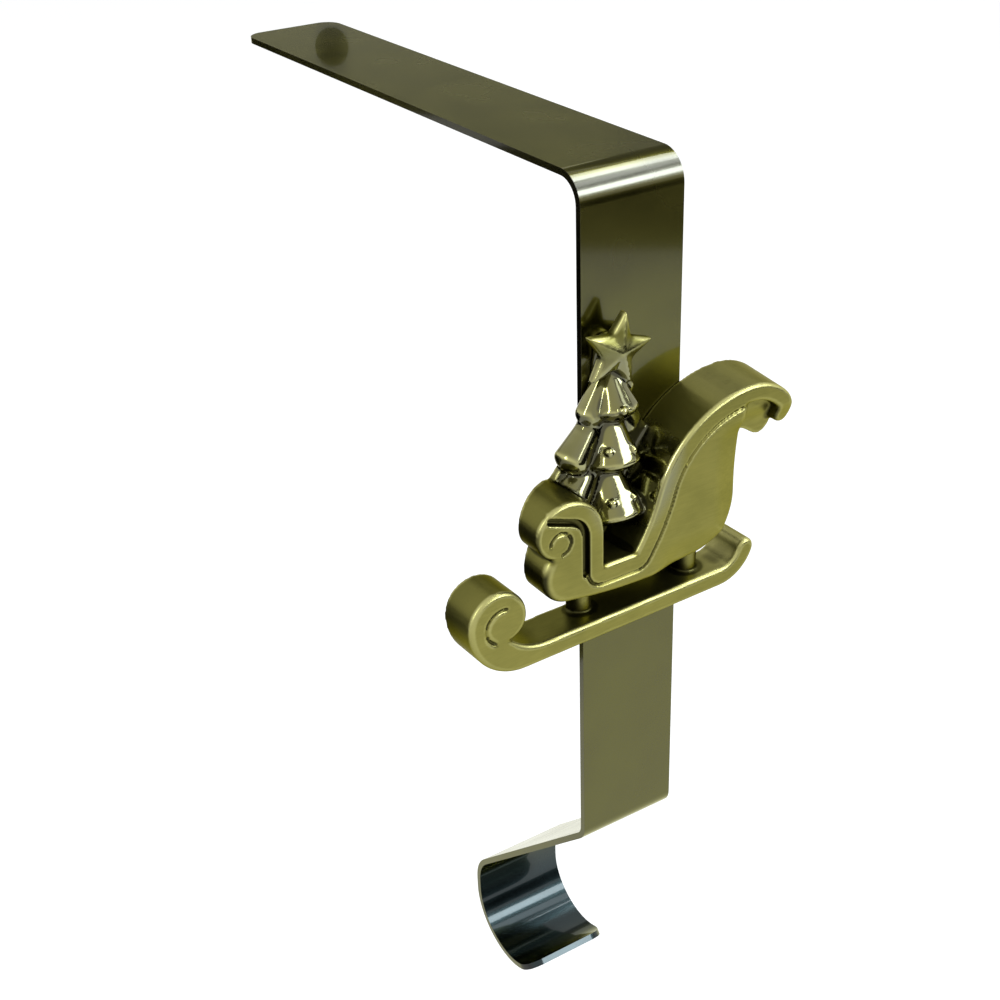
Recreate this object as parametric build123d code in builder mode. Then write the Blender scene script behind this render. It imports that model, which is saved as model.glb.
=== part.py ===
from build123d import *
import math
import os

# Mantel stocking holder: a bent flat bar with a cast sleigh, tree and star on its leg.
# Millimetres. The origin is the middle of the arm's flat underside, which rests on the
# shelf; +X is to the right across the bar, +Y is back along the arm, +Z is up.

# Flat bar
strip_width = 25.0
strip_thickness = 1.5
arm_length = 148.0
leg_drop = 158.6
slope_angle = 42.7
hook_setback = 49.7
hook_straight = 7.8
hook_inner_radius = 13.7
hook_turn = 133.0
shelf_bend_radius = 5.0
foot_bend_radius = 3.6
rear_bend_radius = 10.5
arm_corner_radius = 4.5
hook_corner_radius = 5.0

# Ornament casting, drawn as seen from the front and measured from the middle of the sole
ornament_drop = 95.5
runner_depth = 9.6
runner_thickness = 4.4
runner_lean = 1.6
runner_edge = 0.6
tail_x = 17.9
tail_radius = 9.9
tail_turn = 70.0
curl_x = -34.2
curl_radius = 13.3
scroll_radius = 6.9
scroll_line_radius = 3.9
scroll_line_x = -39.7
scroll_line_y = 12.3
scroll_line_turn = -20.0
scroll_root = (-37.9, 8.4)
scroll_lead = 5.5
post_radius = 2.7
post_depth = 3.1
post_foot = 2.0
post_height = 14.0
body_depth = 12.8
belly_edge = 1.8
rim_width = 3.8
rim_edge = 0.5
dash_x = -24.8
dash_y = 27.6
dash_radius = 7.0
dash_turn = 118.0
notch_y = 17.4
notch_radius = 1.5
seat_x = -6.8
seat_slope = 56.0
seat_radius = 47.0
seat_turn = 17.0
back_radius = 23.4
curl_over_radius = 11.5
curl_over_turn = 45.0
curl_tip_radius = 4.0
curl_tip_turn = 65.0
crown_rise = 0.9
roll_x = -26.4
roll_y = 30.2
roll_radius = 5.7
roll_edge = 0.5
belly_x = -23.9
belly_y = 20.0
belly_radius = 6.6
belly_start = 140.0
belly_turn = 120.0
keel_point = (8.6, 12.5)
heel_point = (19.4, 25.0)
rear_point = (20.2, 38.7)
panel_inset = 0.5
spiral_x = -26.6
spiral_y = 27.9
spiral_radius = 2.5
relief_x = -21.0
relief_width = 22.0
relief_depth = 11.0
web_depth = 2.0
curl_recess = 3.0
star_x = -7.3
star_y = 61.9
star_radius = 8.5
star_waist = 0.47
star_lean = 13.3
star_back = 3.2
star_depth = 5.6
star_ridge = 1.8
star_boss_radius = 2.6
tree_foot = 26.0
tree_depth = 1.7
stem_top_radius = 2.6
stem_foot_radius = 4.6
lobe_top_radius = 1.6
lobe_bottom = 2.2
bead_radius = 0.8
bead_height = 1.1
engraving_width = 0.7
engraving_depth = 0.7
channel_width = 1.6
channel_depth = 1.6
channel_start = (-29.0, 33.8)
channel_bend = 30.8
channel_radius = 4.5

# Screws
screw_shank_radius = 1.5
screw_head_radius = 2.75
screw_length = 7.0
screw_tip_gap = 0.5
screw_clearance = 0.05
recess_length = 3.0
recess_width = 0.8
recess_depth = 0.9
screw_x = 2.0
screw_heights = {"lower_screw": 17.5, "upper_screw": 31.0}

# Places on the casting: posts (x); tree lobes (x and height of the point, turn about the
# stem, tilt, length, radius); wings on the seat's side (x, height, tilt, length, radius);
# beads (x, height, depth); corners of the web
post_places = [-15.9, 12.4]
tree_lobes = [
    (-7.4, 57.6, -80, 30, 13.0, 3.0),
    (-7.5, 57.6, 0, 20, 11.4, 5.0),
    (-8.0, 50.6, -80, 42, 17.0, 3.8),
    (-8.2, 50.0, 0, 14, 14.9, 6.0),
    (-8.7, 41.0, -80, 44, 16.0, 4.6),
    (-8.7, 39.2, 0, 16, 16.0, 6.5),
]
tree_wings = [(-7.4, 57.6, 34, 9.0, 3.0), (-8.0, 51.0, 38, 11.0, 3.6)]
bead_places = [
    (-7.5, 50.8, 8.9),
    (-11.2, 41.7, 7.3),
    (-6.2, 41.7, 8.2),
    (-6.7, 31.5, 8.2),
]
web_corners = [
    (-22.0, 14.0),
    (9.0, 14.0),
    (3.0, 40.0),
    (-4.0, 56.0),
    (-10.0, 56.0),
    (-16.0, 42.0),
    (-22.0, 34.0),
]
curl_lobe_points = [(20.0, 37.2), (24.3, 36.5), (27.3, 35.0), (29.5, 36.0), (30.2, 39.5)]
curl_lobe_corners = [(30.2, 42.0), (27.0, 44.8), (20.0, 44.8)]

arm_back_y = arm_length / 2
leg_front_y = -arm_length / 2
leg_back_y = leg_front_y + strip_thickness
hook_y = leg_front_y + hook_setback - hook_inner_radius
slope_drop = hook_setback * math.tan(math.radians(slope_angle))
rear_corner_z = -leg_drop - slope_drop
hook_z = rear_corner_z - hook_straight
os.makedirs("parts", exist_ok=True)
front = Plane(origin=(0, leg_front_y, -ornament_drop), x_dir=(1, 0, 0), z_dir=(0, -1, 0))

# The bar's front face is drawn as one line from the arm's end to the hook's tip, and the
# thickness lies behind it
with BuildPart() as strip_bracket:
    with BuildSketch(Plane.YZ):
        with BuildLine():
            bends = FilletPolyline(
                (arm_back_y, strip_thickness),
                (leg_front_y, strip_thickness),
                (leg_front_y, -leg_drop),
                (leg_front_y + hook_setback, rear_corner_z),
                (leg_front_y + hook_setback, hook_z),
                radius=[
                    shelf_bend_radius + strip_thickness,
                    foot_bend_radius + strip_thickness,
                    rear_bend_radius,
                ],
            )
            CenterArc((hook_y, hook_z), hook_inner_radius, 0, -hook_turn)
            offset(amount=strip_thickness, side=Side.LEFT)
        make_face()
    extrude(amount=strip_width / 2, both=True)

    # The arm's end corners and the hook's tip corners
    fillet(strip_bracket.edges().filter_by(Axis.Z).group_by(Axis.Y)[-1], radius=arm_corner_radius)
    tip_angle = math.radians(hook_turn)
    tip_radius = hook_inner_radius + strip_thickness / 2
    tip = (0, hook_y + tip_radius * math.cos(tip_angle), hook_z - tip_radius * math.sin(tip_angle))
    tip_face = strip_bracket.faces().sort_by_distance(tip)[0]
    fillet(tip_face.edges().filter_by(Axis.X, reverse=True), radius=hook_corner_radius)

    # Countersunk holes from behind, flush with the back of the leg
    for height in screw_heights.values():
        seat_plane = Plane(origin=(screw_x, leg_back_y, height - ornament_drop), z_dir=(0, 1, 0))
        with Locations(seat_plane):
            CounterSinkHole(
                radius=screw_shank_radius + screw_clearance,
                counter_sink_radius=screw_head_radius + screw_clearance,
                depth=strip_thickness,
                counter_sink_angle=90,
            )
strip_bracket.part.label = "strip_bracket"
export_step(strip_bracket.part, "parts/strip_bracket.step")


# One lobe of the tree: a bell with its narrow end at the origin, hanging down
def bell(length, radius):
    with BuildPart() as shape:
        with BuildSketch(Plane.XZ):
            with BuildLine():
                Polyline((0, -length), (0, 0), (lobe_top_radius, 0), (radius, lobe_bottom - length))
                TangentArc((0, -length), (radius, lobe_bottom - length), tangent=(1, 0))
            make_face()
        revolve(axis=Axis.Z)
    return shape.part


# Runner: a bar of even thickness, turned up at the tail and rolled into a scroll at the nose
runner_front = front.rotated((0, 0, runner_lean))
with BuildPart() as runner:
    with BuildSketch(runner_front):
        with BuildLine():
            nose = CenterArc((curl_x, curl_radius), curl_radius, 270, -90)
            scroll_centre = (curl_x - curl_radius + scroll_radius, curl_radius)
            crown = CenterArc(scroll_centre, scroll_radius, 180, -180)
            TangentArc(crown @ 1, scroll_root, tangent=(0, -1))
            top_start = (curl_x + scroll_lead, runner_thickness)
            TangentArc(top_start, scroll_root, tangent=(-1, 0))
            Line(top_start, (tail_x, runner_thickness))
            inner = CenterArc((tail_x, tail_radius), tail_radius - runner_thickness, 270, tail_turn)
            outer = CenterArc((tail_x, tail_radius), tail_radius, 270, tail_turn)
            TangentArc(outer @ 1, inner @ 1, tangent=outer % 1)
            Line(outer @ 0, nose @ 0)
        make_face()
    extrude(amount=runner_depth)
    chamfer(runner.faces().sort_by(Axis.Y)[0].edges(), length=runner_edge)
    with BuildSketch(runner_front.offset(runner_depth)):
        with Locations((scroll_line_x, scroll_line_y)):
            Circle(scroll_line_radius + engraving_width / 2)
            Circle(scroll_line_radius - engraving_width / 2, mode=Mode.SUBTRACT)
            Rectangle(
                2 * scroll_line_radius,
                3 * scroll_line_radius,
                rotation=scroll_line_turn,
                align=(Align.MIN, Align.CENTER),
                mode=Mode.SUBTRACT,
            )
    extrude(amount=-engraving_depth, mode=Mode.SUBTRACT)

# Middle line of the raised rim: from the rolled dashboard down into the notch, along its
# floor, up the seat back and over into the curl
with BuildLine() as rim_line:
    dash = CenterArc((dash_x, dash_y), dash_radius, dash_turn, -dash_turn)
    drop_line = Line(dash @ 1, (dash_x + dash_radius, notch_y + notch_radius))
    corner = JernArc(drop_line @ 1, (0, -1), notch_radius, 90)
    bend_lead = notch_radius * math.tan(math.radians(seat_slope / 2))
    floor = Line(corner @ 1, (seat_x - bend_lead, notch_y))
    bend = JernArc(floor @ 1, (1, 0), notch_radius, seat_slope)
    seat = JernArc(bend @ 1, bend % 1, seat_radius, seat_turn)
    back = JernArc(seat @ 1, seat % 1, back_radius, -(seat_slope + seat_turn))
with BuildLine() as curl_line:
    curl = JernArc(back @ 1, back % 1, curl_over_radius, -curl_over_turn)
    tip_curl = JernArc(curl @ 1, curl % 1, curl_tip_radius, -curl_tip_turn)

with BuildPart() as rim:
    with BuildSketch(front):
        with BuildLine():
            add(rim_line.line)
            add(curl_line.line)
            offset(amount=rim_width / 2, side=Side.BOTH)
        make_face()
    extrude(amount=body_depth)
    chamfer(rim.faces().sort_by(Axis.Y)[0].edges(), length=rim_edge)

# The seat back's upper side slopes up from the rim to the back
with BuildPart() as crown_back:
    for depth, rise in ((0, crown_rise), (body_depth - rim_edge, 0)):
        with BuildSketch(front.offset(depth)):
            with BuildLine():
                add([seat, back, curl, tip_curl])
                offset(amount=rim_width / 2 + rise, side=Side.LEFT)
            make_face()
    loft(ruled=True)

with BuildPart() as roll:
    with BuildSketch(front):
        with Locations((roll_x, roll_y)):
            Circle(roll_radius)
    extrude(amount=body_depth)
    chamfer(roll.faces().sort_by(Axis.Y)[0].edges(), length=roll_edge)

# Side panel: its upper edge runs under the rim
with BuildPart() as panel:
    with BuildSketch(front):
        with BuildLine():
            belly = CenterArc((belly_x, belly_y), belly_radius, belly_start, belly_turn)
            keel = TangentArc(belly @ 1, keel_point, tangent=belly % 1)
            heel = TangentArc(keel @ 1, heel_point, tangent=keel % 1)
            rear = TangentArc(heel @ 1, rear_point, tangent=heel % 1)
            lid_offset = rim_width / 2 - panel_inset
            lid = offset(rim_line.line, amount=lid_offset, side=Side.LEFT, closed=False, mode=Mode.ADD)
            Line(rear @ 1, lid @ 0)
            Polyline(lid @ 1, (roll_x, roll_y), belly @ 0)
        make_face()
    extrude(amount=body_depth)
    fillet(panel.faces().sort_by(Axis.Y)[0].edges(), radius=belly_edge)

# The free end of the roll and the belly is thinner than the middle, cut away from behind
with BuildPart() as body:
    add(rim.part)
    add(crown_back.part)
    add(roll.part)
    add(panel.part)
    with BuildSketch(Plane.XY):
        with BuildLine():
            Polyline(
                (relief_x, leg_front_y),
                (relief_x - relief_width, leg_front_y),
                (relief_x - relief_width, leg_front_y - relief_depth),
                close=True,
            )
        make_face()
    extrude(amount=-2 * ornament_drop, mode=Mode.SUBTRACT)
    # Fine line along the rim's lower edge
    with BuildSketch(front.offset(body_depth)):
        with BuildLine():
            add([corner, floor, bend, seat, back])
            offset(amount=(rim_width + engraving_width) / 2, side=Side.RIGHT, closed=False)
            offset(amount=engraving_width / 2, side=Side.BOTH)
        make_face()
    extrude(amount=-engraving_depth, mode=Mode.SUBTRACT)
    # Spiral on the roll
    with BuildSketch(front.offset(body_depth)):
        with Locations((spiral_x, spiral_y)):
            Circle(spiral_radius + engraving_width / 2)
            Circle(spiral_radius - engraving_width / 2, mode=Mode.SUBTRACT)
            Rectangle(spiral_radius * 2, spiral_radius * 2, align=(Align.MAX, Align.MAX), mode=Mode.SUBTRACT)
    extrude(amount=-engraving_depth, mode=Mode.SUBTRACT)
    # Deep channel under the rim of the dashboard
    with BuildSketch(front.offset(body_depth)):
        with BuildLine():
            channel_x = dash_x + dash_radius - (rim_width + channel_width) / 2
            channel_end = (channel_x, notch_y + notch_radius)
            FilletPolyline(channel_start, (channel_x, channel_bend), channel_end, radius=channel_radius)
            offset(amount=channel_width / 2, side=Side.BOTH)
        make_face()
    extrude(amount=-channel_depth, mode=Mode.SUBTRACT)

# Five-pointed star on a short boss, each ray with a ridge down its middle
with BuildPart() as star:
    rays = [
        (radius * math.sin(turn), radius * math.cos(turn))
        for index in range(5)
        for radius, turn in (
            (star_radius, math.radians(72 * index + star_lean)),
            (star_radius * star_waist, math.radians(72 * index + star_lean + 36)),
        )
    ]
    with BuildSketch(front.offset(star_back)):
        with Locations((star_x, star_y)):
            Polygon(*rays, align=None)
    extrude(amount=star_depth - star_back)
    peak = front.from_local_coords((star_x, star_y, star_depth + star_ridge))
    loft(sections=[star.faces().sort_by(Axis.Y)[0], Vertex(*peak)])
    with BuildSketch(front):
        with Locations((star_x, star_y)):
            Circle(star_boss_radius)
    extrude(amount=star_depth)

# Tree: three tiers of hanging lobes round one stem, flat against the leg
with BuildPart() as tree:
    with BuildSketch(Plane.XY.offset(tree_foot - ornament_drop)):
        with Locations((tree_lobes[-1][0], leg_front_y)):
            Circle(stem_foot_radius)
    with BuildSketch(Plane.XY.offset(star_y - ornament_drop)):
        with Locations((tree_lobes[0][0], leg_front_y)):
            Circle(stem_top_radius)
    loft()
    for x, height, turn, tilt, length, radius in tree_lobes:
        point = Location(front.from_local_coords((x, height, tree_depth)))
        turned = point * Location((0, 0, 0), (0, 0, turn))
        add(bell(length, radius).moved(turned * Location((0, 0, 0), (-tilt, 0, 0))))
    for x, height, tilt, length, radius in tree_wings:
        point = Location(front.from_local_coords((x, height, 0)))
        with Locations(point * Location((0, 0, 0), (0, -tilt, 0))):
            Cone(radius, lobe_top_radius, length, align=(Align.CENTER, Align.CENTER, Align.MAX))
    for x, height, depth in bead_places:
        with Locations(front.offset(depth).location * Location((x, height, 0))):
            Cone(bead_radius, bead_radius / 2, bead_height)

with BuildPart() as sleigh_casting:
    add(runner.part)
    add(body.part)
    with BuildSketch(Plane.XY.offset(post_foot - ornament_drop)):
        for x in post_places:
            with Locations((x, leg_front_y - post_depth)):
                Circle(post_radius)
    extrude(amount=post_height)
    # Thin web behind the notch and the tree, which carries the tree and the star
    with BuildSketch(front):
        with BuildLine():
            Polyline(*web_corners, close=True)
        make_face()
    extrude(amount=web_depth)
    # Lobe under the curl of the seat back
    with BuildSketch(front):
        with BuildLine():
            lobe = Spline(*curl_lobe_points)
            Polyline(lobe @ 1, *curl_lobe_corners, lobe @ 0)
        make_face()
    extrude(amount=body_depth - curl_recess)
    add(tree.part)
    add(star.part)
    split(bisect_by=front, keep=Keep.TOP)
    # Blind holes for the screws
    for height in screw_heights.values():
        with BuildSketch(front):
            with Locations((screw_x, height)):
                Circle(screw_shank_radius + screw_clearance)
        extrude(amount=screw_length - strip_thickness + screw_tip_gap, mode=Mode.SUBTRACT)
sleigh_casting.part.label = "sleigh_casting"
export_step(sleigh_casting.part, "parts/sleigh_casting.step")

# Countersunk screws with a cross recess, from the back of the leg into the casting
for name, height in screw_heights.items():
    head = Plane(origin=(screw_x, leg_back_y, height - ornament_drop), x_dir=(1, 0, 0), z_dir=(0, 1, 0))
    with BuildPart() as screw:
        with BuildSketch(head):
            Circle(screw_head_radius)
        with BuildSketch(head.offset(screw_shank_radius - screw_head_radius)):
            Circle(screw_shank_radius)
        loft()
        with BuildSketch(head):
            Circle(screw_shank_radius)
        extrude(amount=-screw_length)
        with BuildSketch(head):
            Rectangle(recess_length, recess_width)
            Rectangle(recess_width, recess_length)
        extrude(amount=-recess_depth, mode=Mode.SUBTRACT)
    screw.part.label = name
    export_step(screw.part, f"parts/{name}.step")
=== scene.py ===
import logging
import math
from dataclasses import dataclass
from enum import Enum

import bpy
import numpy as np
from mathutils import Matrix, Vector


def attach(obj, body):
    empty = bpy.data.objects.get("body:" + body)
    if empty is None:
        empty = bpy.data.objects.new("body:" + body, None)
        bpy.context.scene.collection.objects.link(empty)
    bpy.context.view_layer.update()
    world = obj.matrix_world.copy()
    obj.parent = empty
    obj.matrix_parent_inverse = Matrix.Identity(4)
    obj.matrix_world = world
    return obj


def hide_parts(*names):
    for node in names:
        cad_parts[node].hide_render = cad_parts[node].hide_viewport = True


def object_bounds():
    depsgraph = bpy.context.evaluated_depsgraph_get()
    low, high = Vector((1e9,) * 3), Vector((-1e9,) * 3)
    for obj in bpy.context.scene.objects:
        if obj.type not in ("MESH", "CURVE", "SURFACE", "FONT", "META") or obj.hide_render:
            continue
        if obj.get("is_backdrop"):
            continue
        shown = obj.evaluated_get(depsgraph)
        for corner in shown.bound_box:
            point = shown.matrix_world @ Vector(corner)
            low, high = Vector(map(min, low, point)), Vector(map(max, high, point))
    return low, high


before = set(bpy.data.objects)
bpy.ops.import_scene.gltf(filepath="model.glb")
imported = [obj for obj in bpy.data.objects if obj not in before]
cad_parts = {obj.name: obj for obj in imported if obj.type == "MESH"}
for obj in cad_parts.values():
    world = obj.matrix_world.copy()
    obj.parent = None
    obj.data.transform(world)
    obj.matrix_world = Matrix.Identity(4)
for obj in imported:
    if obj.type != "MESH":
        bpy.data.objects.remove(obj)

# Looks of the mantel stocking holder: a lacquered flat bar with a brushed antique-brass
# sleigh casting on its leg. Metres, in the frame of the CAD model: the origin is the middle
# of the arm's underside, X goes to the right, Y back along the arm and Z up.

log = logging.getLogger("stocking_holder")

MM = 0.001

Colour = tuple[float, float, float, float]
Point = tuple[float, float, float]
Pair = tuple[float, float]

WHITE: Colour = (1.0, 1.0, 1.0, 1.0)
COOL: Point = (0.90, 0.95, 1.0)
MIDDLE: Pair = (0.3, 0.7)
GRIT_SCALE = 2600.0
GRIT_SHARE = 0.5


class Slot(Enum):
    """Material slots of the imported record."""

    BAR = "lacquered_bar"
    CASTING = "antique_brass"
    STEEL = "plated_steel"


class Mask(Enum):
    """Point attributes that the casting's mesh carries for its finish, its painted shade and its painted
    highlights.
    """

    RECESS = "recess"
    EDGE = "edge"
    POLISH = "polish"


# Mesh tools


def select_only(piece: bpy.types.Object) -> None:
    """Makes a piece the only selected and the active object.

    Args:
        piece: The object to select.
    """
    bpy.ops.object.select_all(action="DESELECT")
    piece.select_set(True)
    bpy.context.view_layer.objects.active = piece


def copy_of_node(node: str, name: str) -> bpy.types.Object:
    """Copies a CAD node's mesh into a new piece and merges its loose triangles.

    Args:
        node: Name of the CAD node.
        name: Name of the new piece.

    Returns:
        The new piece, free of the node's parent, with its place in its mesh.
    """
    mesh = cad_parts[node].data.copy()
    mesh.materials.clear()
    piece = bpy.data.objects.new(name, mesh)
    bpy.context.scene.collection.objects.link(piece)
    select_only(piece)
    if mesh.has_custom_normals:
        bpy.ops.mesh.customdata_custom_splitnormals_clear()
    bpy.ops.object.mode_set(mode="EDIT")
    bpy.ops.mesh.select_all(action="SELECT")
    bpy.ops.mesh.remove_doubles(threshold=0.001 * MM)
    bpy.ops.object.mode_set(mode="OBJECT")
    return piece


def apply_modifier(piece: bpy.types.Object, kind: str, **settings: object) -> None:
    """Adds a modifier to a piece and applies it.

    Args:
        piece: The piece that gets the modifier.
        kind: Blender's name of the modifier's type.
        **settings: The modifier's properties.
    """
    select_only(piece)
    modifier = piece.modifiers.new(kind.lower(), kind)
    for key, value in settings.items():
        setattr(modifier, key, value)
    bpy.ops.object.modifier_apply(modifier=modifier.name)


def points_of(mesh: bpy.types.Mesh) -> np.ndarray:
    """Reads a mesh's vertices.

    Args:
        mesh: The mesh.

    Returns:
        One row of X, Y and Z for each vertex.
    """
    points = np.empty(len(mesh.vertices) * 3)
    mesh.vertices.foreach_get("co", points)
    return points.reshape(-1, 3)


class Surface:
    """A mesh's edges, for averaging values between neighbours."""

    def __init__(self, mesh: bpy.types.Mesh) -> None:
        """Reads the edges.

        Args:
            mesh: The mesh.
        """
        self.count = len(mesh.vertices)
        edges = np.empty(len(mesh.edges) * 2, dtype=np.int64)
        mesh.edges.foreach_get("vertices", edges)
        self.near, self.far = edges.reshape(-1, 2).T
        self.degree = (np.bincount(self.near, minlength=self.count)
                       + np.bincount(self.far, minlength=self.count))

    def spread(self, values: np.ndarray, steps: int) -> np.ndarray:
        """Averages values over the mesh's edges.

        Args:
            values: One row for each vertex.
            steps: Number of rounds.

        Returns:
            The averaged values.
        """
        for _ in range(steps):
            total = np.stack([
                np.bincount(self.near, column[self.far], self.count)
                + np.bincount(self.far, column[self.near], self.count)
                for column in values.T
            ], axis=1)
            values = 0.5 * values + 0.5 * total / self.degree[:, None]
        return values


def smooth_step(values: np.ndarray, low: float, high: float) -> np.ndarray:
    """Maps values smoothly to 0 at the low end and 1 at the high end.

    Args:
        values: The values.
        low: Value that gives 0.
        high: Value that gives 1.

    Returns:
        The mapped values.
    """
    share = np.clip((values - low) / (high - low), 0.0, 1.0)
    return share * share * (3.0 - 2.0 * share)


# Node tools


class Graph:
    """A node tree being built, with short calls for the nodes that the finishes use."""

    def __init__(self, tree: bpy.types.NodeTree) -> None:
        """Starts on a tree.

        Args:
            tree: The material's or group's node tree.
        """
        self.tree = tree

    def node(self, kind: str, **settings: object) -> bpy.types.Node:
        """Adds a node.

        Args:
            kind: Blender's identifier of the node type.
            **settings: The node's properties.

        Returns:
            The new node.
        """
        made = self.tree.nodes.new(kind)
        for key, value in settings.items():
            setattr(made, key, value)
        return made

    def feed(self, socket: bpy.types.NodeSocket, value: object) -> None:
        """Links an output to a socket, or sets the socket's own value.

        Args:
            socket: The input that is fed.
            value: An output socket, a number or a colour.
        """
        if isinstance(value, bpy.types.NodeSocket):
            self.tree.links.new(value, socket)
        else:
            socket.default_value = value

    def math(self, operation: str, *values: object) -> bpy.types.NodeSocket:
        """Adds a Math node.

        Args:
            operation: The operation's identifier.
            *values: Outputs or numbers for its inputs.

        Returns:
            The result's socket.
        """
        made = self.node("ShaderNodeMath", operation=operation)
        for socket, value in zip(made.inputs, values):
            self.feed(socket, value)
        return made.outputs[0]

    def ramp(self, value: object, low: float, high: float, to_low: float = 0.0,
             to_high: float = 1.0) -> bpy.types.NodeSocket:
        """Maps a value smoothly from one range to another.

        Args:
            value: The value's socket.
            low: The value at which the result is to_low.
            high: The value at which the result is to_high.
            to_low: Result at the low end.
            to_high: Result at the high end.

        Returns:
            The result's socket.
        """
        made = self.node("ShaderNodeMapRange", interpolation_type="SMOOTHSTEP")
        for socket, part in zip(made.inputs, (value, low, high, to_low, to_high)):
            self.feed(socket, part)
        return made.outputs[0]

    def mix(self, factor: object, first: object, second: object) -> bpy.types.NodeSocket:
        """Mixes two colours.

        Args:
            factor: Share of the second colour.
            first: First colour.
            second: Second colour.

        Returns:
            The mixed colour's socket.
        """
        made = self.node("ShaderNodeMix", data_type="RGBA")
        for index, value in ((0, factor), (6, first), (7, second)):
            self.feed(made.inputs[index], value)
        return made.outputs[2]

    def product(self, first: object, *others: object) -> bpy.types.NodeSocket:
        """Multiplies values.

        Args:
            first: First output or number.
            *others: The outputs or numbers that it is multiplied by.

        Returns:
            The product's socket.
        """
        result = first
        for other in others:
            result = self.math("MULTIPLY", result, other)
        return result

    def tinted(self, colour: object, mask: object, share: float, tint: Colour) -> bpy.types.NodeSocket:
        """Lays a tint over a colour where a mask is high.

        Args:
            colour: The colour below.
            mask: The mask's socket.
            share: Share of the tint where the mask is 1.
            tint: The colour laid over it.

        Returns:
            The mixed colour's socket.
        """
        return self.mix(self.product(mask, share), colour, tint)

    def parts(self, output: str) -> bpy.types.bpy_prop_collection:
        """Splits the piece's own coordinates or normal.

        Args:
            output: Object for the coordinates, Normal for the normal.

        Returns:
            The outputs X, Y and Z.
        """
        place = self.node("ShaderNodeTexCoord")
        made = self.node("ShaderNodeSeparateXYZ")
        self.feed(made.inputs[0], place.outputs[output])
        return made.outputs

    def seen(self) -> bpy.types.NodeSocket:
        """Tells the rays of the camera, of reflections and of transmissions from the others.

        Returns:
            A socket that is 1 for such a ray and 0 for the others.
        """
        path = self.node("ShaderNodeLightPath")
        result = self.math("MAXIMUM", path.outputs["Is Camera Ray"], path.outputs["Is Glossy Ray"])
        return self.math("MAXIMUM", result, path.outputs["Is Transmission Ray"])

    def noise(self, vector: object, scale: float, detail: float,
              roughness: float = 0.55) -> bpy.types.NodeSocket:
        """Adds a Noise texture.

        Args:
            vector: Coordinates.
            scale: Cells in each metre.
            detail: Number of finer layers.
            roughness: Strength of the finer layers.

        Returns:
            The noise value's socket.
        """
        made = self.node("ShaderNodeTexNoise")
        self.feed(made.inputs["Vector"], vector)
        made.inputs["Scale"].default_value = scale
        made.inputs["Detail"].default_value = detail
        made.inputs["Roughness"].default_value = roughness
        return made.outputs["Fac"]

    def attribute(self, mask: Mask) -> bpy.types.NodeSocket:
        """Reads one of the casting's point attributes.

        Args:
            mask: Which attribute.

        Returns:
            The value's socket.
        """
        return self.node("ShaderNodeAttribute", attribute_name=mask.value).outputs["Fac"]

    def bump(self, height: object, strength: float, distance: float) -> bpy.types.NodeSocket:
        """Adds a Bump node.

        Args:
            height: Height's socket.
            strength: Share of the effect.
            distance: Height of a full step, in metres.

        Returns:
            The normal's socket.
        """
        made = self.node("ShaderNodeBump")
        made.inputs["Strength"].default_value = strength
        made.inputs["Distance"].default_value = distance
        self.feed(made.inputs["Height"], height)
        return made.outputs["Normal"]

    def group(self, tree: bpy.types.NodeTree, **values: object) -> bpy.types.Node:
        """Places a node group.

        Args:
            tree: The group's tree.
            **values: Values of its inputs, with spaces in their names as underscores.

        Returns:
            The group's node.
        """
        made = self.node("ShaderNodeGroup")
        made.node_tree = tree
        for key, value in values.items():
            self.feed(made.inputs[key.replace("_", " ")], value)
        return made


def metal_grain_group() -> bpy.types.NodeTree:
    """Builds the grain that the metals share: fine lines one way, with slow clouds over them.

    Returns:
        A group with Clouds, Lines and Height outputs, each about 0 to 1.
    """
    tree = bpy.data.node_groups.new("metal_grain", "ShaderNodeTree")
    for name in ("Across", "Along", "Cloud Scale"):
        tree.interface.new_socket(name=name, in_out="INPUT", socket_type="NodeSocketFloat")
    for name in ("Clouds", "Lines", "Height"):
        tree.interface.new_socket(name=name, in_out="OUTPUT", socket_type="NodeSocketFloat")
    graph = Graph(tree)
    given = graph.node("NodeGroupInput")
    result = graph.node("NodeGroupOutput")
    place = graph.node("ShaderNodeTexCoord")
    scale = graph.node("ShaderNodeCombineXYZ")
    graph.feed(scale.inputs["X"], given.outputs["Along"])
    graph.feed(scale.inputs["Y"], given.outputs["Across"])
    graph.feed(scale.inputs["Z"], given.outputs["Across"])
    stretched = graph.node("ShaderNodeVectorMath", operation="MULTIPLY")
    graph.feed(stretched.inputs[0], place.outputs["Object"])
    graph.feed(stretched.inputs[1], scale.outputs["Vector"])
    lines = graph.noise(stretched.outputs["Vector"], scale=1.0, detail=5.0, roughness=0.65)
    clouds = graph.node("ShaderNodeTexNoise")
    graph.feed(clouds.inputs["Vector"], place.outputs["Object"])
    graph.feed(clouds.inputs["Scale"], given.outputs["Cloud Scale"])
    clouds.inputs["Detail"].default_value = 3.0
    grit = graph.noise(place.outputs["Object"], scale=GRIT_SCALE, detail=2.0)
    graph.feed(result.inputs["Clouds"], clouds.outputs["Fac"])
    graph.feed(result.inputs["Lines"], lines)
    height = graph.math("MULTIPLY_ADD", grit, GRIT_SHARE, graph.product(lines, 1.0 - GRIT_SHARE))
    graph.feed(result.inputs["Height"], height)
    return tree


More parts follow.
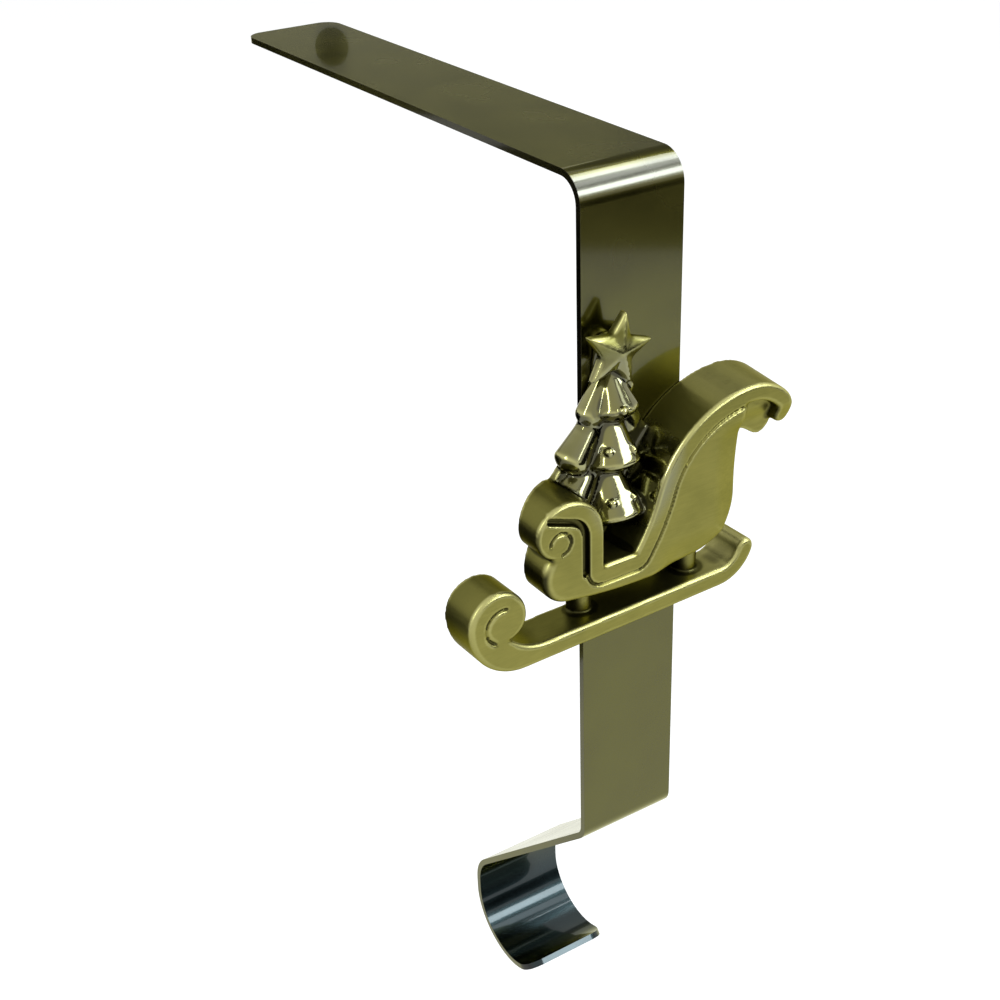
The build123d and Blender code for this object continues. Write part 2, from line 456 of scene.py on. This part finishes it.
@dataclass(frozen=True)
class LacqueredBar:
    """Dark lacquer over plated steel: olive brown, glossy, darker towards the hook."""

    metal: Colour = (0.084, 0.080, 0.014, 1.0)
    shade: Colour = (0.066, 0.059, 0.014, 1.0)
    fold_highlight: Colour = (0.112, 0.112, 0.086, 1.0)
    side_shade: Colour = (0.022, 0.019, 0.016, 1.0)
    hook: Colour = (0.019, 0.031, 0.033, 1.0)
    glance: Colour = (1.0, 0.98, 0.56, 1.0)
    grit_scale: float = 900.0
    cloud_scale: float = 55.0
    cloud_share: float = 0.35
    bend_shade_share: float = 0.8
    side_shade_share: float = 0.8
    metallic: float = 1.0
    roughness: Pair = (0.20, 0.29)
    coat: float = 0.55
    coat_roughness: float = 0.06
    bump: float = 0.10
    bump_height: float = 0.05 * MM
    bend_start: float = -1.0 * MM
    bend_dark: float = -4.0 * MM
    bend_fade: float = -30.0 * MM
    fold_top: Pair = (0.8 * MM, 0.2 * MM)
    fold_foot: Pair = (-3.4 * MM, -2.4 * MM)
    fold_depth: Pair = (-70.0 * MM, -72.0 * MM)
    hook_heights: Pair = (-196.0 * MM, -212.0 * MM)
    cut_facing: Pair = (0.45, 0.9)

    def material(self, grain: bpy.types.NodeTree) -> bpy.types.Material:
        """Builds the material.

        Args:
            grain: The shared grain group.

        Returns:
            The bar's material.
        """
        made, graph, shader = new_material("lacquered_bar_finish")
        texture = graph.group(grain, Across=self.grit_scale, Along=self.grit_scale,
                              Cloud_Scale=self.cloud_scale)
        graph.feed(shader.inputs["Base Color"], self._colour(graph, texture.outputs["Clouds"]))
        shader.inputs["Metallic"].default_value = self.metallic
        shader.inputs["Specular Tint"].default_value = self.glance
        rough = graph.ramp(texture.outputs["Clouds"], *MIDDLE, *self.roughness)
        graph.feed(shader.inputs["Roughness"], rough)
        shader.inputs["Coat Weight"].default_value = self.coat
        shader.inputs["Coat Roughness"].default_value = self.coat_roughness
        bumped = graph.bump(texture.outputs["Height"], self.bump, self.bump_height)
        graph.feed(shader.inputs["Normal"], bumped)
        return made

    def _colour(self, graph: Graph, clouds: bpy.types.NodeSocket) -> bpy.types.NodeSocket:
        """Mixes the lacquer with painted shade below the top corner, a painted highlight over that
        corner, the dark hook and painted shade on the side faces.

        Args:
            graph: The material's graph.
            clouds: The grain's clouds.

        Returns:
            The colour's socket.
        """
        where = graph.parts("Object")
        height = where["Z"]
        colour = graph.mix(graph.ramp(clouds, *MIDDLE, 0.0, self.cloud_share), self.metal, self.shade)
        # Painted shade: the leg is painted darker just below the top corner, fading out some 30 mm
        # further down.
        painted_bend_shade = graph.product(graph.ramp(height, self.bend_fade, self.bend_dark),
                             graph.ramp(height, self.bend_start, self.bend_dark))
        colour = graph.tinted(colour, painted_bend_shade, self.bend_shade_share, self.shade)
        # Painted highlight: a whitish band over the front of the top corner lightens the lacquer where
        # the lamps' streaks lie.
        painted_highlight = graph.product(graph.ramp(height, *self.fold_foot), graph.ramp(height, *self.fold_top),
                             graph.ramp(where["Y"], *self.fold_depth))
        colour = graph.mix(painted_highlight, colour, self.fold_highlight)
        colour = graph.mix(graph.ramp(height, *self.hook_heights), colour, self.hook)
        # Painted shade: the bar's side faces, which face along X, are painted darker.
        painted_side_shade = graph.ramp(graph.math("ABSOLUTE", graph.parts("Normal")["X"]), *self.cut_facing)
        return graph.tinted(colour, painted_side_shade, self.side_shade_share, self.side_shade)


@dataclass(frozen=True)
class AntiqueBrass:
    """Brass plating, blackened and then brushed bright on the front faces and the edges, with painted
    shade on the sides, in the hollows and on the body's left sides, and painted highlights on the upward
    edges and the seat's top ridge.
    """

    brushed: Colour = (0.238, 0.220, 0.058, 1.0)
    deep: Colour = (0.120, 0.118, 0.030, 1.0)
    patina_and_shade: Colour = (0.026, 0.025, 0.010, 1.0)
    edge: Colour = (0.500, 0.480, 0.190, 1.0)
    silver: Colour = (0.150, 0.148, 0.072, 1.0)
    crown_highlight: Colour = (0.340, 0.320, 0.120, 1.0)
    glance: Colour = (0.60, 0.57, 0.35, 1.0)
    brush_across: float = 2600.0
    brush_along: float = 260.0
    cloud_scale: float = 90.0
    metallic: float = 1.0
    roughness: Pair = (0.30, 0.44)
    polished: float = 0.13
    lacquer: float = 0.9
    lacquer_roughness: float = 0.07
    bump: float = 0.11
    bump_height: float = 0.04 * MM
    cloud_share: float = 0.30
    line_share: float = 0.10
    side_share: float = 0.5
    aged_and_shaded_share: float = 0.8
    upward_lit_share: float = 0.75
    crest_highlight_share: float = 0.75
    star_share: float = 0.75
    silver_share: float = 0.85
    turned_shade_loss: float = 0.80
    wear_and_highlight_share: float = 0.8
    recess_share: float = 0.80
    aged_and_shaded_depths: Pair = (-85.5 * MM, -75.0 * MM)
    brushed_and_lit_depths: Pair = (-77.0 * MM, -81.5 * MM)
    body_side: Pair = (-35.0 * MM, -31.5 * MM)
    body_heights: Pair = (-62.0 * MM, -71.0 * MM)
    body_shares: Pair = (0.8, 0.98)
    crest_highlight: Pair = (6.0 * MM, 22.0 * MM)
    star_heights: Pair = (-36.0 * MM, -33.0 * MM)
    forward_facing: Pair = (-0.15, -0.85)
    left_facing: Pair = (-0.25, -0.80)
    steep_facing: Pair = (0.45, 0.10)
    upward_facing: Pair = (-0.25, 0.55)
    upward_shares: Pair = (0.25, 1.0)
    crest_facing: Pair = (0.25, 0.75)
    turned_facing: Pair = (-0.10, -0.60)
    edge_levels: Pair = (0.25, 0.9)
    line_levels: Pair = (0.25, 0.75)
    recess_levels: Pair = (0.25, 0.85)
    recess_cloud: float = 0.15

    def material(self, grain: bpy.types.NodeTree) -> bpy.types.Material:
        """Builds the material.

        Args:
            grain: The shared grain group.

        Returns:
            The casting's material.
        """
        made, graph, shader = new_material("antique_brass_finish")
        texture = graph.group(grain, Across=self.brush_across, Along=self.brush_along,
                              Cloud_Scale=self.cloud_scale)
        polish = graph.attribute(Mask.POLISH)
        graph.feed(shader.inputs["Base Color"], self._colour(graph, texture, polish))
        shader.inputs["Metallic"].default_value = self.metallic
        shader.inputs["Specular Tint"].default_value = self.glance
        gloss = graph.node("ShaderNodeMix", data_type="FLOAT")
        graph.feed(gloss.inputs[0], polish)
        satin = graph.ramp(texture.outputs["Lines"], *self.line_levels, *self.roughness)
        graph.feed(gloss.inputs[2], satin)
        gloss.inputs[3].default_value = self.polished
        graph.feed(shader.inputs["Roughness"], gloss.outputs[0])
        bumped = graph.bump(texture.outputs["Height"], self.bump, self.bump_height)
        graph.feed(shader.inputs["Normal"], bumped)
        graph.feed(shader.inputs["Coat Weight"], graph.product(polish, self.lacquer))
        shader.inputs["Coat Roughness"].default_value = self.lacquer_roughness
        return made

    def _colour(self, graph: Graph, texture: bpy.types.Node,
                polish: bpy.types.NodeSocket) -> bpy.types.NodeSocket:
        """Lays the brushed tone, the darker sides with their painted shade, the painted shade on the
        body's left sides, the painted highlight on the seat's top ridge, the silver of the polished tree
        with painted shade where it faces left, the edge wear with its painted highlight, and the dark
        hollows with their painted shade over each other.

        Args:
            graph: The material's graph.
            texture: The placed grain group.
            polish: Where the casting is polished.

        Returns:
            The colour's socket.
        """
        facing = graph.parts("Normal")
        where = graph.parts("Object")
        clouds = graph.ramp(texture.outputs["Clouds"], *MIDDLE)
        lines = graph.ramp(texture.outputs["Lines"], *MIDDLE)
        upward = graph.ramp(facing["Z"], *self.upward_facing, *self.upward_shares)
        black = self._left_side_shade(graph, facing, where)
        colour = graph.tinted(self.brushed, clouds, self.cloud_share, self.deep)
        colour = graph.tinted(colour, lines, self.line_share, self.deep)
        colour = self._aged_and_shaded(graph, colour, facing, where, upward)
        # Painted shade: the body's left sides are painted near black.
        colour = graph.mix(black, colour, self.patina_and_shade)
        # Painted highlight: a light gold tone on the upward faces of the seat's top ridge, on the right.
        crest_highlight = graph.product(graph.ramp(facing["Z"], *self.crest_facing),
                              graph.ramp(where["X"], *self.crest_highlight))
        colour = graph.tinted(colour, crest_highlight, self.crest_highlight_share, self.crown_highlight)
        star = graph.ramp(where["Z"], *self.star_heights)
        colour = graph.tinted(colour, star, self.star_share, self.deep)
        # Painted shade: the polished tree keeps less of its silver tone on the faces that look left.
        turned_shade = graph.ramp(facing["X"], *self.turned_facing)
        bright = graph.math("MULTIPLY_ADD", turned_shade, -self.turned_shade_loss, self.silver_share)
        colour = graph.mix(graph.product(polish, bright), colour, self.silver)
        # Wear on the proud edges with a painted highlight: edges that look up are lightened fully, edges
        # that look down much less.
        painted_highlight = graph.product(graph.ramp(graph.attribute(Mask.EDGE), *self.edge_levels), upward)
        spared = graph.math("MULTIPLY_ADD", black, -self.wear_and_highlight_share, self.wear_and_highlight_share)
        colour = graph.mix(graph.product(painted_highlight, spared), colour, self.edge)
        # Dark hollows: the real dark finish in the fine creases, painted shade in the broad hollows.
        hollow = graph.math("MULTIPLY_ADD", clouds, self.recess_cloud, graph.attribute(Mask.RECESS))
        hollow = graph.ramp(hollow, *self.recess_levels)
        return graph.tinted(colour, hollow, self.recess_share, self.patina_and_shade)

    def _left_side_shade(self, graph: Graph, facing: bpy.types.bpy_prop_collection,
                   where: bpy.types.bpy_prop_collection) -> bpy.types.NodeSocket:
        """Finds the sleigh body's left sides, for the painted shade laid on them.

        Args:
            graph: The material's graph.
            facing: Parts of the normal.
            where: Parts of the coordinates.

        Returns:
            The mask's socket.
        """
        leftward = graph.ramp(facing["X"], *self.left_facing)
        steep = graph.ramp(facing["Z"], *self.steep_facing)
        return graph.product(leftward, steep, graph.ramp(where["X"], *self.body_side),
                             graph.ramp(where["Z"], *self.body_heights, *self.body_shares))

    def _aged_and_shaded(self, graph: Graph, colour: bpy.types.NodeSocket,
              facing: bpy.types.bpy_prop_collection, where: bpy.types.bpy_prop_collection,
              upward: bpy.types.NodeSocket) -> bpy.types.NodeSocket:
        """Darkens the sides of the casting, more so towards the bar: partly the darker finish of the
        unbrushed sides, partly painted shade on the recessed faces, near the bar and on faces that look
        down.

        Args:
            graph: The material's graph.
            colour: The brushed colour.
            facing: Parts of the normal.
            where: Parts of the coordinates.
            upward: Where the surface looks up.

        Returns:
            The colour's socket.
        """
        forward = graph.ramp(facing["Y"], *self.forward_facing)
        # Forward faces count as brushed only near the front; deeper ones take the darker tone, partly as
        # painted shade in the recesses.
        front = graph.product(forward, graph.ramp(where["Y"], *self.brushed_and_lit_depths))
        side = graph.math("SUBTRACT", 1.0, front)
        colour = graph.tinted(colour, side, self.side_share, self.deep)
        # Painted shade: the darkening grows towards the bar and is weaker on faces that look up.
        downward_shade = graph.math("MULTIPLY_ADD", upward, -self.upward_lit_share, 1.0)
        aged_and_shaded = graph.product(side, graph.ramp(where["Y"], *self.aged_and_shaded_depths), downward_shade)
        return graph.tinted(colour, aged_and_shaded, self.aged_and_shaded_share, self.patina_and_shade)


@dataclass(frozen=True)
class PlatedSteel:
    """Bright plated steel of the screws."""

    colour: Colour = (0.52, 0.52, 0.50, 1.0)
    shade: Colour = (0.36, 0.36, 0.34, 1.0)
    metallic: float = 1.0
    roughness: Pair = (0.28, 0.38)
    grit_scale: float = 1500.0
    cloud_scale: float = 400.0
    bump: float = 0.1
    bump_height: float = 0.02 * MM

    def material(self, grain: bpy.types.NodeTree) -> bpy.types.Material:
        """Builds the material.

        Args:
            grain: The shared grain group.

        Returns:
            The screws' material.
        """
        made, graph, shader = new_material("plated_steel_finish")
        texture = graph.group(grain, Across=self.grit_scale, Along=self.grit_scale,
                              Cloud_Scale=self.cloud_scale)
        clouds = graph.ramp(texture.outputs["Clouds"], *MIDDLE)
        graph.feed(shader.inputs["Base Color"], graph.mix(clouds, self.colour, self.shade))
        shader.inputs["Metallic"].default_value = self.metallic
        graph.feed(shader.inputs["Roughness"], graph.ramp(clouds, 0.0, 1.0, *self.roughness))
        bumped = graph.bump(texture.outputs["Height"], self.bump, self.bump_height)
        graph.feed(shader.inputs["Normal"], bumped)
        return made


def new_material(name: str) -> tuple[bpy.types.Material, Graph, bpy.types.Node]:
    """Makes a material that holds one Principled shader.

    Args:
        name: The material's name.

    Returns:
        The material, its graph and the shader's node.
    """
    made = bpy.data.materials.new(name)
    made.use_nodes = True
    return made, Graph(made.node_tree), made.node_tree.nodes["Principled BSDF"]


# The holder


@dataclass(frozen=True)
class FlatBar:
    """The bent bar, with its edges eased as on rolled flat bar."""

    ease: float = 0.25 * MM
    ease_steps: int = 3
    flat_angle: float = 0.6
    sharp_angle: float = 55.0
    smooth_angle: float = 40.0

    def build(self, material: bpy.types.Material) -> bpy.types.Object:
        """Makes the bar from the CAD bar's shape and dresses it.

        Args:
            material: The bar's finish.

        Returns:
            The finished bar.
        """
        bar = copy_of_node("strip_bracket", "flat_bar")
        bpy.ops.object.mode_set(mode="EDIT")
        bpy.ops.mesh.select_all(action="SELECT")
        bpy.ops.mesh.dissolve_limited(angle_limit=math.radians(self.flat_angle))
        bpy.ops.object.mode_set(mode="OBJECT")
        apply_modifier(bar, "BEVEL", width=self.ease, segments=self.ease_steps, limit_method="ANGLE",
                       angle_limit=math.radians(self.sharp_angle), use_clamp_overlap=True)
        bpy.ops.object.shade_smooth_by_angle(angle=math.radians(self.smooth_angle))
        apply_modifier(bar, "WEIGHTED_NORMAL", keep_sharp=True)
        bar.data.materials.append(material)
        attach(bar, "root")
        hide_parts("strip_bracket")
        return bar


@dataclass(frozen=True)
class SleighCasting:
    """The ornament: the CAD casting with the soft edges of a die casting that was tumbled."""

    voxel: float = 0.31 * MM
    kept_share: float = 0.76
    smooth_factor: float = 0.5
    smooth_steps: int = 5
    fine_steps: int = 6
    broad_steps: int = 60
    curve_scale: float = 0.22 * MM
    tree_centre: Pair = (-8.5 * MM, -52.0 * MM)
    tree_reach: Pair = (13.5 * MM, 22.0 * MM)
    soft_centre: Pair = (-8.5 * MM, -46.0 * MM)
    soft_reach: Pair = (14.0 * MM, 27.0 * MM)
    soft_steps: int = 22
    soft_edge: float = 0.25
    soft_levels: int = 10
    bead_radius: float = 0.95 * MM
    bead_clear: Pair = (1.5 * MM, 2.4 * MM)
    bead_segments: int = 20
    bead_rings: int = 12
    beads: tuple[Point, ...] = (
        (-8.8 * MM, -83.1 * MM, -44.7 * MM),
        (-11.2 * MM, -81.6 * MM, -53.8 * MM),
        (-6.0 * MM, -82.6 * MM, -54.4 * MM),
        (-6.1 * MM, -82.9 * MM, -65.2 * MM),
        (-11.2 * MM, -82.8 * MM, -65.0 * MM),
    )
    cheek_drop: float = 1.3 * MM
    cheek_width: float = 8.0 * MM
    cheek_rear: float = 19.8 * MM
    cheek_keel: float = -83.2 * MM
    cheek_front: Pair = (-4.0 * MM, 4.0 * MM)
    cheek_top: Pair = (-57.5 * MM, -52.5 * MM)
    cheek_depth: Pair = (80.0 * MM, 84.0 * MM)
    runner_top: Pair = (-86.5 * MM, -84.5 * MM)
    crease_gain: float = 3.0
    hollow_gain: float = 1.2
    proud_gain: float = 5.0
    seat_loss: float = 0.9
    seat_front: Pair = (2.0 * MM, 5.0 * MM)
    seat_foot: Pair = (-68.0 * MM, -64.0 * MM)
    panel_loss: float = 0.55
    panel_front: Pair = (-6.0 * MM, 2.0 * MM)
    panel_depth: Pair = (82.5 * MM, 84.0 * MM)
    tree_gain: float = 4.0
    mask_steps: int = 2

    def build(self, material: bpy.types.Material) -> bpy.types.Object:
        """Makes the casting from the CAD casting's shape and dresses it.

        Args:
            material: The casting's finish.

        Returns:
            The finished casting.
        """
        casting = copy_of_node("sleigh_casting", "sleigh_ornament")
        self._hang_beads(casting)
        apply_modifier(casting, "REMESH", mode="VOXEL", voxel_size=self.voxel, adaptivity=0.0)
        self._crown_cheek(casting.data)
        group = self._soft_group(casting)
        apply_modifier(casting, "SMOOTH", factor=self.smooth_factor, iterations=self.soft_steps,
                       vertex_group=group)
        casting.vertex_groups.clear()
        apply_modifier(casting, "SMOOTH", factor=self.smooth_factor, iterations=self.smooth_steps)
        bpy.ops.object.shade_smooth()
        self._mask(casting.data)
        apply_modifier(casting, "DECIMATE", ratio=self.kept_share)
        casting.data.materials.append(material)
        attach(casting, "root")
        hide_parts("sleigh_casting")
        return casting

    def _hang_beads(self, casting: bpy.types.Object) -> None:
        """Joins a round bead to the casting at each of the tree's beads.

        Args:
            casting: The casting before its remesh, which fuses the beads.
        """
        for place in self.beads:
            bpy.ops.object.select_all(action="DESELECT")
            bpy.ops.mesh.primitive_uv_sphere_add(
                segments=self.bead_segments, ring_count=self.bead_rings,
                radius=self.bead_radius, location=place,
            )
            casting.select_set(True)
            bpy.context.view_layer.objects.active = casting
            bpy.ops.object.join()

    def _crown_cheek(self, mesh: bpy.types.Mesh) -> None:
        """Rounds the side panel back towards its rear and lower edges.

        Args:
            mesh: The casting's mesh.
        """
        points = points_of(mesh)
        x, y, z = points.T
        inside = np.minimum(self.cheek_rear - x, z - self.cheek_keel)
        near_edge = 1.0 - smooth_step(inside, 0.0, self.cheek_width)
        right = smooth_step(x, *self.cheek_front)
        low = 1.0 - smooth_step(z, *self.cheek_top)
        front = smooth_step(-y, *self.cheek_depth)
        above_runner = smooth_step(z, *self.runner_top)
        points[:, 1] = y + self.cheek_drop * near_edge * right * low * front * above_runner
        mesh.vertices.foreach_set("co", points.ravel())
        mesh.update()

    def _soft_group(self, casting: bpy.types.Object) -> str:
        """Weighs the tree and the star, without the beads, for the smoothing that rounds them.

        Args:
            casting: The remeshed casting.

        Returns:
            The vertex group's name.
        """
        points = points_of(casting.data)
        offset = (points[:, [0, 2]] - np.array(self.soft_centre)) / np.array(self.soft_reach)
        weights = smooth_step(1.0 - np.linalg.norm(offset, axis=1), 0.0, self.soft_edge)
        for place in self.beads:
            distance = np.linalg.norm(points - np.array(place), axis=1)
            weights *= smooth_step(distance, *self.bead_clear)
        group = casting.vertex_groups.new(name="soft")
        levels = np.round(weights * self.soft_levels)
        for level in range(1, self.soft_levels + 1):
            chosen = np.nonzero(levels == level)[0]
            group.add(chosen.tolist(), level / self.soft_levels, "REPLACE")
        return group.name

    def _mask(self, mesh: bpy.types.Mesh) -> None:
        """Writes where the surface is hollow, where it is proud, and where it is polished.

        Args:
            mesh: The casting's smoothed mesh.
        """
        points = points_of(mesh)
        normals = np.empty(points.size)
        mesh.vertices.foreach_get("normal", normals)
        normals = normals.reshape(-1, 3)
        surface = Surface(mesh)
        fine = surface.spread(points, self.fine_steps)
        broad = surface.spread(fine, self.broad_steps)
        sharp = np.einsum("ij,ij->i", fine - points, normals) / self.curve_scale
        wide = np.einsum("ij,ij->i", broad - points, normals) / self.curve_scale
        x, y, z = points.T
        seat = smooth_step(x, *self.seat_front) * smooth_step(z, *self.seat_foot)
        panel = smooth_step(x, *self.panel_front) * smooth_step(-y, *self.panel_depth)
        # The broad hollows, where the parts close in, carry painted shade; the fine creases carry the
        # real dark finish.
        wide *= self.hollow_gain - self.seat_loss * seat
        hollow = np.clip(np.maximum(self.crease_gain * sharp, wide), 0.0, 1.0)
        hollow *= 1.0 - self.panel_loss * panel
        proud = np.clip(-self.proud_gain * sharp, 0.0, 1.0)
        offset = (points[:, [0, 2]] - np.array(self.tree_centre)) / np.array(self.tree_reach)
        tree = np.clip(self.tree_gain * (1.0 - np.linalg.norm(offset, axis=1)), 0.0, 1.0)
        for mask, values in ((Mask.RECESS, hollow), (Mask.EDGE, proud), (Mask.POLISH, tree)):
            layer = mesh.attributes.new(mask.value, "FLOAT", "POINT")
            soft = surface.spread(values[:, None], self.mask_steps)[:, 0]
            layer.data.foreach_set("value", soft.astype(np.float32))


@dataclass(frozen=True)
class Screws:
    """The two countersunk screws, which keep their CAD shape."""

    nodes: tuple[str, ...] = ("lower_screw", "upper_screw")

    def dress(self, material: bpy.types.Material) -> None:
        """Gives the screws their finish.

        Args:
            material: The steel finish.
        """
        for node in self.nodes:
            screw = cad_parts[node]
            screw.data.materials.clear()
            screw.data.materials.append(material)
            log.info("screw %s dressed", node)


# The studio


@dataclass(frozen=True)
class View:
    """The photograph's camera, as it was found from the bar's edges."""

    place: Point = (-0.17886, -0.31022, 0.09361)
    azimuth: float = 31.773
    depression: float = 29.113
    roll: float = -2.046
    lens: float = 57.325
    sensor: float = 36.0
    clip: Pair = (0.01, 20.0)

    def build(self) -> bpy.types.Object:
        """Makes the scene's camera.

        Returns:
            The camera.
        """
        turn, down, roll = (math.radians(angle) for angle in (self.azimuth, self.depression, self.roll))
        ahead = Vector((math.sin(turn) * math.cos(down), math.cos(turn) * math.cos(down),
                        -math.sin(down)))
        level = Vector((math.cos(turn), -math.sin(turn), 0.0))
        below = ahead.cross(level)
        right = level * math.cos(roll) - below * math.sin(roll)
        under = level * math.sin(roll) + below * math.cos(roll)
        data = bpy.data.cameras.new("photo_camera")
        data.lens = self.lens
        data.sensor_width = self.sensor
        data.sensor_fit = "AUTO"
        data.clip_start, data.clip_end = self.clip
        camera = bpy.data.objects.new("photo_camera", data)
        bpy.context.scene.collection.objects.link(camera)
        matrix = Matrix((right, -under, -ahead)).transposed().to_4x4()
        matrix.translation = Vector(self.place)
        camera.matrix_world = matrix
        bpy.context.scene.camera = camera
        return camera


@dataclass(frozen=True)
class Softbox:
    """One rectangular lamp that looks at the holder's middle."""

    name: str
    azimuth: float
    elevation: float
    distance: float
    width: float
    height: float
    watts: float
    colour: Point = COOL

    def build(self, target: Vector) -> bpy.types.Object:
        """Hangs the lamp.

        Args:
            target: The point that it looks at.

        Returns:
            The lamp.
        """
        turn, lift = math.radians(self.azimuth), math.radians(self.elevation)
        level = Vector((math.sin(turn), -math.cos(turn), 0.0))
        towards = level * math.cos(lift) + Vector((0.0, 0.0, math.sin(lift)))
        data = bpy.data.lights.new(self.name, "AREA")
        data.shape = "RECTANGLE"
        data.size = self.width
        data.size_y = self.height
        data.energy = self.watts
        data.color = self.colour
        lamp = bpy.data.objects.new(self.name, data)
        lamp.location = target + towards * self.distance
        lamp.rotation_mode = "QUATERNION"
        lamp.rotation_quaternion = (-towards).to_track_quat("-Z", "Y")
        bpy.context.scene.collection.objects.link(lamp)
        return lamp


@dataclass(frozen=True)
class DarkCard:
    """One dark card that only the metal's reflections show."""

    name: str
    middle: Point
    turn: Point
    width: float
    height: float
    glow: float = 0.0
    round: bool = False
    corners: int = 48
    black: Colour = (0.012, 0.012, 0.012, 1.0)

    def build(self) -> bpy.types.Object:
        """Stands the card up, out of the camera's sight.

        Returns:
            The card.
        """
        bpy.ops.object.select_all(action="DESELECT")
        turn = tuple(math.radians(angle) for angle in self.turn)
        if self.round:
            bpy.ops.mesh.primitive_circle_add(vertices=self.corners, radius=0.5, fill_type="NGON",
                                              location=self.middle, rotation=turn)
        else:
            bpy.ops.mesh.primitive_plane_add(size=1.0, location=self.middle, rotation=turn)
        card = bpy.context.active_object
        card.name = self.name
        card.scale = (self.width, self.height, 1.0)
        card.visible_camera = False
        card.visible_diffuse = False
        card.visible_shadow = False
        card.visible_transmission = False
        made, _, shader = new_material(self.name + "_black")
        shader.inputs["Base Color"].default_value = self.black
        shader.inputs["Roughness"].default_value = 1.0
        shader.inputs["Specular IOR Level"].default_value = 0.0
        shader.inputs["Emission Color"].default_value = WHITE
        shader.inputs["Emission Strength"].default_value = self.glow
        card.data.materials.append(made)
        card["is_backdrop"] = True
        return card


@dataclass(frozen=True)
class Studio:
    """Pale floor under the hanging holder, a pale world, soft lamps and dark cards."""

    floor_drop: float = 0.09
    floor_size: float = 12.0
    floor_colour: Colour = (0.45, 0.455, 0.46, 1.0)
    floor_roughness: float = 0.9
    floor_glow: float = 0.69
    world_light: float = 0.55
    world_seen: float = 0.97
    lamps: tuple[Softbox, ...] = (
        Softbox("low_softbox", 36.0, 29.0, 1.1, 0.8, 0.24, 6.8),
        Softbox("key_softbox", 50.0, 49.0, 1.1, 0.9, 0.18, 1.4),
        Softbox("upper_softbox", 80.0, 56.0, 1.1, 0.40, 0.24, 3.0),
        Softbox("window_softbox", -75.0, 35.0, 1.2, 0.07, 0.7, 3.4),
    )
    cards: tuple[DarkCard, ...] = (
        DarkCard("front_card", (0.49, -0.73, -0.145), (90.0, 0.0, 37.0), 0.9, 0.35),
        DarkCard("left_floor_card", (-0.41, 0.51, -0.3155), (0.0, 0.0, 0.0), 0.76, 0.68),
        DarkCard("side_card", (-0.075, 0.023, -0.122), (90.0, 0.0, 32.0), 0.060, 0.080),
        DarkCard("left_card", (-0.62, 0.95, -0.185), (90.0, 0.0, 32.0), 1.40, 0.26),
        DarkCard("back_card", (0.53, 0.85, 0.280), (90.0, 0.0, -32.0), 1.60, 0.32, 0.21),
        DarkCard("small_card", (0.0163, 0.0829, 0.0106), (90.0, 0.0, -26.5), 0.0090, 0.0105, round=True),
        DarkCard("bend_card", (0.111, -0.028, 0.086), (55.0, 0.0, 115.0), 0.16, 0.075, 0.15),
        DarkCard("lamp_card", (0.75, -0.80, 0.75), (54.0, 0.0, 43.0), 1.30, 1.00, 0.35),
    )

    def build(self) -> None:
        """Makes the floor, the world, the lamps and the cards."""
        low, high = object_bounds()
        self._floor(low.z - self.floor_drop)
        self._world()
        for lamp in self.lamps:
            lamp.build((low + high) / 2)
        for card in self.cards:
            card.build()

    def _floor(self, height: float) -> None:
        """Lays the floor.

        Args:
            height: Its height in the frame.
        """
        bpy.ops.object.select_all(action="DESELECT")
        bpy.ops.mesh.primitive_plane_add(size=self.floor_size, location=(0.0, 0.0, height))
        floor = bpy.context.active_object
        floor.name = "studio_floor"
        made, graph, shader = new_material("floor_paint")
        shader.inputs["Base Color"].default_value = self.floor_colour
        shader.inputs["Roughness"].default_value = self.floor_roughness
        shader.inputs["Emission Color"].default_value = WHITE
        glow = graph.product(graph.seen(), self.floor_glow)
        graph.feed(shader.inputs["Emission Strength"], glow)
        floor.data.materials.append(made)
        floor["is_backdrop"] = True

    def _world(self) -> None:
        """Sets the world's pale light."""
        world = bpy.data.worlds.new("studio_world")
        bpy.context.scene.world = world
        world.use_nodes = True
        graph = Graph(world.node_tree)
        back = world.node_tree.nodes["Background"]
        back.inputs["Color"].default_value = WHITE
        extra = graph.product(graph.seen(), self.world_seen - self.world_light)
        graph.feed(back.inputs["Strength"], graph.math("ADD", extra, self.world_light))


def main() -> None:
    """Builds the pieces in order, then the studio and the camera."""
    logging.basicConfig(level=logging.INFO, format="%(name)s: %(message)s")
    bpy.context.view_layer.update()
    grain = metal_grain_group()
    bar = FlatBar().build(LacqueredBar().material(grain))
    log.info("flat bar: %d faces", len(bar.data.polygons))
    casting = SleighCasting().build(AntiqueBrass().material(grain))
    log.info("sleigh casting: %d faces", len(casting.data.polygons))
    Screws().dress(PlatedSteel().material(grain))
    Studio().build()
    View().build()
    bpy.context.scene.view_settings.view_transform = "Standard"


if __name__ == "__main__":
    main()
